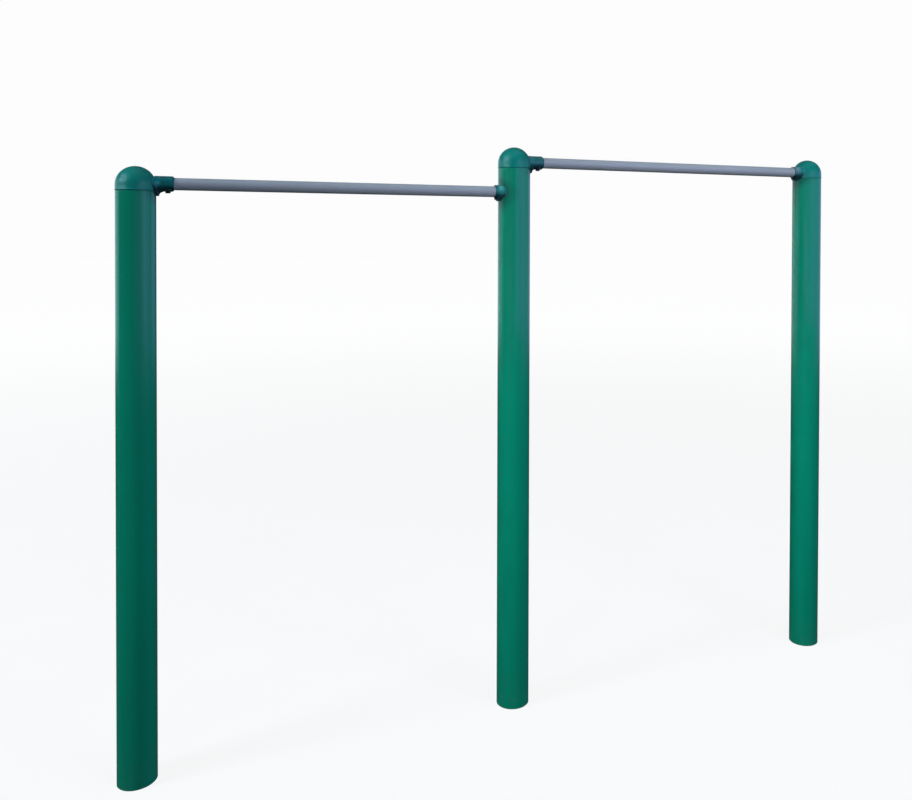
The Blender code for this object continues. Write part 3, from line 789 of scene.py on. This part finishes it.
def tube(side):
    """One post's tube, with the hole for its cap's screw at the back."""
    top = TOPS[side]
    hole = top - SCREW_BELOW_TOP
    below, above = hole - 0.012, hole + 0.008
    rings = [FOOT_BEVEL, *LOW_RINGS] + [below - RING_STEP * i for i in range(DIRT_RINGS, 0, -1)]
    rings += [below, above, top - TOP_BEVEL]
    outside = [(POST_RADIUS - FOOT_BEVEL, 0.0)] + [(POST_RADIUS, up) for up in rings]
    outside += [(POST_RADIUS - TOP_BEVEL, top)]
    inside = [(POST_BORE, top), (POST_BORE, above), (POST_BORE, below), (POST_BORE, 0.0)]
    bm = spin_round(close_section(section(outside + inside)), TUBE_SIDES)
    piece = make_object(side + "_tube", shift(bm, (POSTS[side], 0, 0)))
    drill = lay(rod(CAP_SCREW_HOLE, DRILL_LENGTH), "+Y")
    cut(piece, shift(drill, (POSTS[side], POST_RADIUS, hole)))
    # Painted shade round and below the tube's sockets.
    paint_shade_around(piece, side, most=0.60)
    return finish(piece, TUBE_GREEN, side + "_post")


for side in POSTS:
    tube(side)

# %% [markdown]
# ## The dome caps
#
# A cap is an iron casting: a half ball on a short skirt, with a rounded lip that throws rain clear of the
# seam, and a spigot that plugs into the tube. The section runs from the top of the ball down the outside,
# under the lip, down the spigot and back up the inside. The boss behind the wall takes the bolt of the
# bar's socket.

# %% Turn the caps
SKIRT = 0.019
CAP_WALL = 0.004
SEAM = 0.0016
SEAM_DEPTH = 0.0018
LIP_PROUD = 0.0012
LIP_HEIGHT = 0.0034
LIP_ROLL = 0.0011
LIP_TURN = 0.0009
SPIGOT_LENGTH = 0.045
SPIGOT = POST_BORE - 0.0004
SPIGOT_WALL = 0.004
SPIGOT_CHAMFER = 0.0015
BOLT_ABOVE_TOP = 0.024
BOLT_HOLE = 0.0053
BOLT_BOSS_RADIUS = 0.013
BOLT_BOSS_LENGTH = 0.015
BOLT_BOSS_INSIDE = 0.0068
CAP_SIDES = 128


def cap_section():
    """Half of the cap's section; height 0 is the top of the tube."""
    seat = 0.0003
    low, high = seat + SEAM, seat + SEAM + LIP_HEIGHT
    lip = POST_RADIUS + LIP_PROUD
    ball = [(0.0, SKIRT + POST_RADIUS)] + arc((0, SKIRT), POST_RADIUS, 88.0, 0.0, 30)
    roll = arc((lip - LIP_ROLL, high - LIP_PROUD), LIP_ROLL, 84.0, 0.0, 4)
    turn_under = arc((lip - LIP_TURN, low + LIP_TURN), LIP_TURN, 0.0, -90.0, 3)
    seam = [(POST_RADIUS - SEAM_DEPTH, low), (POST_RADIUS - SEAM_DEPTH, seat), (SPIGOT, seat)]
    bore = SPIGOT - SPIGOT_WALL
    plug = [(SPIGOT, SPIGOT_CHAMFER - SPIGOT_LENGTH), (SPIGOT - SPIGOT_CHAMFER, -SPIGOT_LENGTH),
            (bore, -SPIGOT_LENGTH), (bore, high)]
    hollow = arc((0, SKIRT), POST_RADIUS - CAP_WALL, 0.0, 88.0, 12) + [(0.0, SKIRT + POST_RADIUS - CAP_WALL)]
    return ball + [(POST_RADIUS, high + 0.0008)] + roll + turn_under + seam + plug + hollow


def cap(side, toward):
    """One cap on its post; toward is the way its bolt boss faces along X."""
    x, top = POSTS[side], TOPS[side]
    bm = spin_round(section(cap_section()), CAP_SIDES)
    piece = make_object(side + "_dome_cap", shift(bm, (x, 0, top)))
    axis = "+X" if toward > 0 else "-X"
    wall = math.sqrt((POST_RADIUS - CAP_WALL) ** 2 - (BOLT_ABOVE_TOP - SKIRT) ** 2)
    boss = lay(shift(rod(BOLT_BOSS_RADIUS, BOLT_BOSS_LENGTH, 40), (0, 0, wall - BOLT_BOSS_INSIDE)), axis)
    cut(piece, shift(boss, (x, 0, top + BOLT_ABOVE_TOP)), "UNION")
    holes = ((axis, BOLT_HOLE, BOLT_ABOVE_TOP), ("+Y", CAP_SCREW_HOLE, -SCREW_BELOW_TOP))
    for direction, radius, height in holes:
        drill = lay(shift(rod(radius, DRILL_LENGTH), (0, 0, POST_RADIUS)), direction)
        cut(piece, shift(drill, (x, 0, top + height)))
    # Fainter painted shade round the cap's socket.
    paint_shade_around(piece, side, most=0.22)
    return finish(piece, CAST_GREEN, side + "_cap")


for side, toward in (("left", 1), ("middle", 1), ("right", -1)):
    cap(side, toward)

# %% [markdown]
# ## The sockets
#
# The socket is the piece that takes skill. Its flange saddles the post: the back is hollowed to the tube's
# curve and, above the skirt, to the ball of the cap. The flange runs out into the barrel in a wide fillet.
# A revolved section can't make it, because the flange isn't round. So one ring is drawn round the bar's
# axis and extruded step by step, and at each step its points are moved to the casting's next contour, until
# the last ring meets the first. The contour is a formula of the angle, so the two kinds of socket come from
# the same steps.

# %% Contours of the socket
SADDLE = POST_RADIUS + 0.0003
BARREL = 0.0238
BORE = 0.0193
FLOOR = SADDLE + 0.006
FLANGE = 0.0080
EDGE_ROUND = 0.002
MOUTH_CHAMFER = 0.004
HEEL_GAP = 0.0035
SOCKET_SIDES = 120


def saddle_depth(y, z, on_cap):
    """How far the back stands from the post's axis at a point of the flange."""
    above = z + BOLT_ABOVE_TOP - SKIRT
    if on_cap and above > 0.0:
        top = BARREL + BOLT_ABOVE_TOP - SKIRT
        return math.sqrt(SADDLE ** 2 - y ** 2 - above ** 2) + HEEL_GAP * (above / top) ** 2
    return math.sqrt(SADDLE ** 2 - y ** 2)


def flange_reach(angle, flange):
    """The flange's outline: level with the barrel on top, round at its shoulders, and lower at its foot."""
    half_width, squareness, drop = flange
    across = abs(math.cos(angle)) / half_width
    if math.sin(angle) > 0.0:
        return (across ** squareness + (math.sin(angle) / BARREL) ** squareness) ** (-1 / squareness)
    return (across ** 2 + (math.sin(angle) / drop) ** 2) ** (-1 / 2)


def contour(inner, flange, share, inset=0.0):
    """The reach of a ring that lies a share of the way from a circle to the flange's outline."""
    def reach(angle):
        inwards = inset if math.sin(angle) < 0.0 else inset * abs(math.cos(angle))
        return inner + (flange_reach(angle, flange) - inwards - inner) * share
    return reach


def plain(radius):
    """The reach of a round ring."""
    return lambda angle: radius


# %% The socket's steps, from the bolt hole at its back round to the bolt hole in its floor
BACK_INSET = 0.0006
BACK_BEVEL = 0.0008
BACK_RINGS = 9
FILLET_RINGS = 10
BARREL_RINGS = 6
BARREL_END = 0.0012


def socket_steps(mouth, flange, fillet):
    """Each step is a ring's reach, how far out it lies, and how much it bends with the saddle."""
    front = SADDLE + FLANGE
    steps = [(contour(BOLT_HOLE, flange, i / BACK_RINGS, BACK_INSET * i / BACK_RINGS), SADDLE, 1.0)
             for i in range(BACK_RINGS + 1)]
    steps += [(contour(BOLT_HOLE, flange, 1.0), SADDLE + BACK_BEVEL, 1.0),
              (contour(BOLT_HOLE, flange, 1.0), front - EDGE_ROUND, 1.0)]
    for i in (1, 2, 3):
        a = math.pi / 2 * i / 4
        steps.append((contour(BOLT_HOLE, flange, 1.0, EDGE_ROUND * (1 - math.cos(a))),
                      front - EDGE_ROUND * (1 - math.sin(a)), 1.0))
    for i in range(FILLET_RINGS + 1):
        a = math.pi / 2 * i / FILLET_RINGS
        steps.append((contour(BARREL, flange, 1 - math.sin(a), EDGE_ROUND),
                      front + fillet * (1 - math.cos(a)), math.cos(a)))
    start, end = front + fillet, mouth - MOUTH_CHAMFER
    for i in range(1, BARREL_RINGS + 1):
        steps.append((plain(BARREL), start + (end - BARREL_END - start) * i / BARREL_RINGS, 0.0))
    steps += [(plain(BARREL - 0.0003), end - 0.0001, 0.0), (plain(BARREL - 0.0011), end + 0.0009, 0.0),
              (plain(BARREL - MOUTH_CHAMFER + 0.0008), mouth - 0.0010, 0.0),
              (plain(BARREL - MOUTH_CHAMFER + 0.0003), mouth - 0.0003, 0.0),
              (plain(BORE + 0.0003), mouth, 0.0), (plain(BORE), mouth - 0.0004, 0.0),
              (plain(BORE), FLOOR, 0.0), (plain(BOLT_HOLE), FLOOR, 0.0)]
    return steps


# %% Draw a socket
def draw_socket(steps, on_cap):
    """Extrudes one ring through the steps and closes it on itself. The post lies along Z, the bar along X."""
    bm = bmesh.new()
    ring = bmesh.ops.create_circle(bm, cap_ends=False, radius=1.0, segments=SOCKET_SIDES)["verts"]
    lay(bm, "+X")
    angles = {v: math.atan2(v.co.z, v.co.y) for v in ring}
    edges = bm.edges[:]
    for count, (reach, out, bend) in enumerate(steps + steps[:1]):
        if count:
            made = bmesh.ops.extrude_edge_only(bm, edges=edges)["geom"]
            fresh = [g for g in made if isinstance(g, bmesh.types.BMVert)]
            old = {tuple(v.co): angles[v] for v in angles}
            angles = {v: old[tuple(v.co)] for v in fresh}
            edges = [g for g in made
                     if isinstance(g, bmesh.types.BMEdge) and all(v in angles for v in g.verts)]
        for v, angle in angles.items():
            y, z = reach(angle) * math.cos(angle), reach(angle) * math.sin(angle)
            v.co = (out + bend * (saddle_depth(y, z, on_cap) - SADDLE), y, z)
    bmesh.ops.remove_doubles(bm, verts=bm.verts, dist=2e-6)
    bmesh.ops.recalc_face_normals(bm, faces=bm.faces)
    return bm


# %% Boss, hole and relief
BOSS_RADIUS = 0.00725
BOSS_DROP = 0.005
BOSS_ROOT = 0.0196
SET_SCREW_HOLE = 0.0043
SET_SCREW_DRILL = 0.03
SET_SCREW_DROP = 0.0328
RELIEF_INSIDE = 0.050
RELIEF_HEIGHT = 0.0044


def screw_boss(fillet):
    """The boss under the barrel, spreading upwards into it."""
    radius, end = BOSS_RADIUS, -(BARREL + BOSS_DROP)
    root = -math.sqrt(BARREL ** 2 - (radius + fillet) ** 2)
    flare = [(radius + fillet * (1 - math.cos(a)), end + (root - end) * math.sin(a))
             for a in (math.pi / 2 * i / 10 for i in range(1, 11))]
    tip = [(0.0, end), (radius - 0.0008, end), (radius - 0.0002, end + 0.0002), (radius, end + 0.0008)]
    inside = [(radius + fillet, -BOSS_ROOT), (0.0, -BOSS_ROOT)]
    return spin_round(section(tip + flare + inside), 64)


def lip_relief():
    """The groove in the saddle that clears the cap's lip."""
    low = SEAM - 0.0002 - BOLT_ABOVE_TOP
    outer = POST_RADIUS + LIP_PROUD + 0.0005
    high = low + RELIEF_HEIGHT
    groove = section([(RELIEF_INSIDE, low), (outer, low), (outer, high), (RELIEF_INSIDE, high)])
    return spin_round(close_section(groove), 96)


def screw_hole(along):
    """The drill for the set screw, up through the boss."""
    return shift(rod(SET_SCREW_HOLE, SET_SCREW_DRILL, 40), (along, 0, -SET_SCREW_DROP))


# %% Painted shade, painted sheen and chalk on the sockets
# How dark the painted shade is at the mouth, along the barrel and underneath.
MOUTH_SHADE = 0.70
BARREL_SHADE = 0.40
UNDER_SHADE = 0.95
PALE_EDGE = 0.036
PALE_FULL = 0.028


def paint_socket_shade_and_sheen(piece, mouth, rubbed):
    """Stores painted shade at the mouth, on the barrel and under it, and the pale chalk and painted sheen on
    top.
    """
    painted_shade, chalk_and_sheen = [], []
    for v in piece.data.vertices:
        height = v.co.z / BARREL
        rim = fade(v.co.x, mouth - 0.006, mouth - 0.002)
        barrel = fade(v.co.x, SADDLE + FLANGE, SADDLE + FLANGE + 0.006)
        under = fade(height, 0.10, -0.60)
        near = fade(math.hypot(v.co.y, v.co.z), PALE_EDGE, PALE_FULL)
        top = fade(height, -0.7333, 0.60)
        # Painted shade at the mouth and along the barrel, eased where the barrel is paler, and darkest
        # underneath.
        darkening = max(MOUTH_SHADE * rim, BARREL_SHADE * barrel) * (1.0 - 0.5 * rubbed)
        painted_shade.append(max(darkening, UNDER_SHADE * under))
        # Pale chalk and painted sheen near the barrel, on all but its underside.
        chalk_and_sheen.append(rubbed * near * top)
    store(piece.data, "painted_shade", painted_shade)
    store(piece.data, "chalk_and_sheen", chalk_and_sheen)


# %% Make the sockets
def socket(name, side, bar, toward, on_cap, rubbed, projection, flange, fillet, from_mouth, boss_fillet):
    """One finished socket, turned to face along the bar; rubbed sets its pale chalk and painted sheen on top,
    and eases its painted shade.
    """
    mouth = POST_RADIUS + projection
    piece = make_object(name + "_casting", draw_socket(socket_steps(mouth, flange, fillet), on_cap))
    if on_cap:
        cut(piece, lip_relief())
    screw_at = mouth - from_mouth
    cut(piece, shift(screw_boss(boss_fillet), (screw_at, 0, 0)), "UNION")
    cut(piece, screw_hole(screw_at))
    paint_socket_shade_and_sheen(piece, mouth, rubbed)
    if toward < 0:
        piece.data.transform(Matrix.Rotation(math.pi, 4, "Z"))
    piece.data.transform(Matrix.Translation((POSTS[side], 0, BARS[bar])))
    return finish(piece, SHADED_SOCKET_GREEN, name + "_socket")


# A flange's three numbers: its half width, how square its shoulders are, and how far its foot hangs down.
DEEP = {"projection": 0.0505, "flange": (0.0345, 2.2, 0.038), "fillet": 0.0165,
        "from_mouth": 0.018, "boss_fillet": 0.0095}
SHALLOW = {"projection": 0.017, "flange": (0.0395, 3.0, 0.033), "fillet": 0.006,
           "from_mouth": 0.008, "boss_fillet": 0.0005}
socket("low_bar_deep", "left", "low_bar", toward=1, on_cap=True, rubbed=0.0, **DEEP)
socket("low_bar_shallow", "middle", "low_bar", toward=-1, on_cap=False, rubbed=0.10, **SHALLOW)
socket("high_bar_deep", "middle", "high_bar", toward=1, on_cap=True, rubbed=0.25, **DEEP)
socket("high_bar_shallow", "right", "high_bar", toward=-1, on_cap=True, rubbed=0.9, **SHALLOW)

# %% [markdown]
# ## The grip bars
#
# A bar is plain tube with its ends broken by a file. The hands hold its middle, so each ring along it
# stores how much it is handled, and the paint reads that as the grip attribute. An attribute follows each
# bar by itself, where a pattern on coordinates would need a place for every bar.

# %% Turn the bars
BAR_RADIUS = 0.019
BAR_WALL = 0.003
BAR_BEVEL = 0.0005
BAR_RINGS = 40
BAR_SIDES = 72


def grip_bar(name):
    """A bar along X between its sockets, with its handling stored on its points."""
    low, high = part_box(name)
    length = high.x - low.x
    filed, bore = BAR_RADIUS - BAR_BEVEL, BAR_RADIUS - BAR_WALL
    along = [BAR_BEVEL + (length - 2 * BAR_BEVEL) * i / BAR_RINGS for i in range(BAR_RINGS + 1)]
    outside = [(filed, 0.0)] + [(BAR_RADIUS, up) for up in along] + [(filed, length)]
    bm = spin_round(close_section(section(outside + [(bore, length), (bore, 0.0)])), BAR_SIDES)
    piece = make_object(name + "_tube", shift(lay(bm, "+X"), (low.x, 0, BARS[name])))
    centre = (low.x + high.x) / 2
    handled = [max(0.0, 1.0 - (abs(v.co.x - centre) / (0.42 * length)) ** 4) for v in piece.data.vertices]
    store(piece.data, "grip", handled)
    return finish(piece, GRIP_GREY, name)


for name in BARS:
    grip_bar(name)

# %% [markdown]
# ## The screws
#
# The only fasteners that can be seen are grub screws: one under each socket, which locks the bar, and one
# at the back of each post, which holds the cap. A grub screw is a turned stud with a bevelled end and a
# hexagon recess. The bolts, washers and the nut are inside, so their solids stay as they are and only get
# the plating.

# %% Turn the screws
def grub_screw(name, node, axis, radius, length, across):
    """A screw whose recess faces -Z, or +Y for axis +Y, centred on its solid."""
    bevel = radius / 5
    outline = [(0.0, 0.0), (radius - bevel, 0.0), (radius, bevel), (radius, length - 2 * bevel),
               (radius - 2 * bevel, length), (0.0, length)]
    piece = make_object(name, spin_round(section(outline), 40))
    cut(piece, rod(across / math.sqrt(3), length, 6))
    if axis == "+Y":
        piece.data.transform(Matrix.Rotation(math.pi / 2, 4, "X"))
    corners = [Vector(c) for c in piece.bound_box]
    here = sum(corners, Vector()) / 8
    piece.data.transform(Matrix.Translation(middle(node) - here))
    return finish(piece, ZINC, node)


for bar in BARS:
    for kind in ("deep", "shallow"):
        grub_screw(f"{bar}_{kind}_grub_screw", f"{bar}_{kind}_set_screw", "-Z",
                   radius=0.004, length=0.0085, across=0.004)
for side in POSTS:
    grub_screw(side + "_cap_grub_screw", side + "_cap_screw", "+Y", radius=0.003, length=0.008, across=0.003)

# %% Plate what stays as it is
PLATED = {"_bolt": ZINC, "_washer": ZINC, "_nut": ZINC, "_foot_disc": GALVANISED}
for name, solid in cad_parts.items():
    for ending, material in PLATED.items():
        if name.endswith(ending):
            solid.data.materials.clear()
            solid.data.materials.append(material)
            print("plated", name)
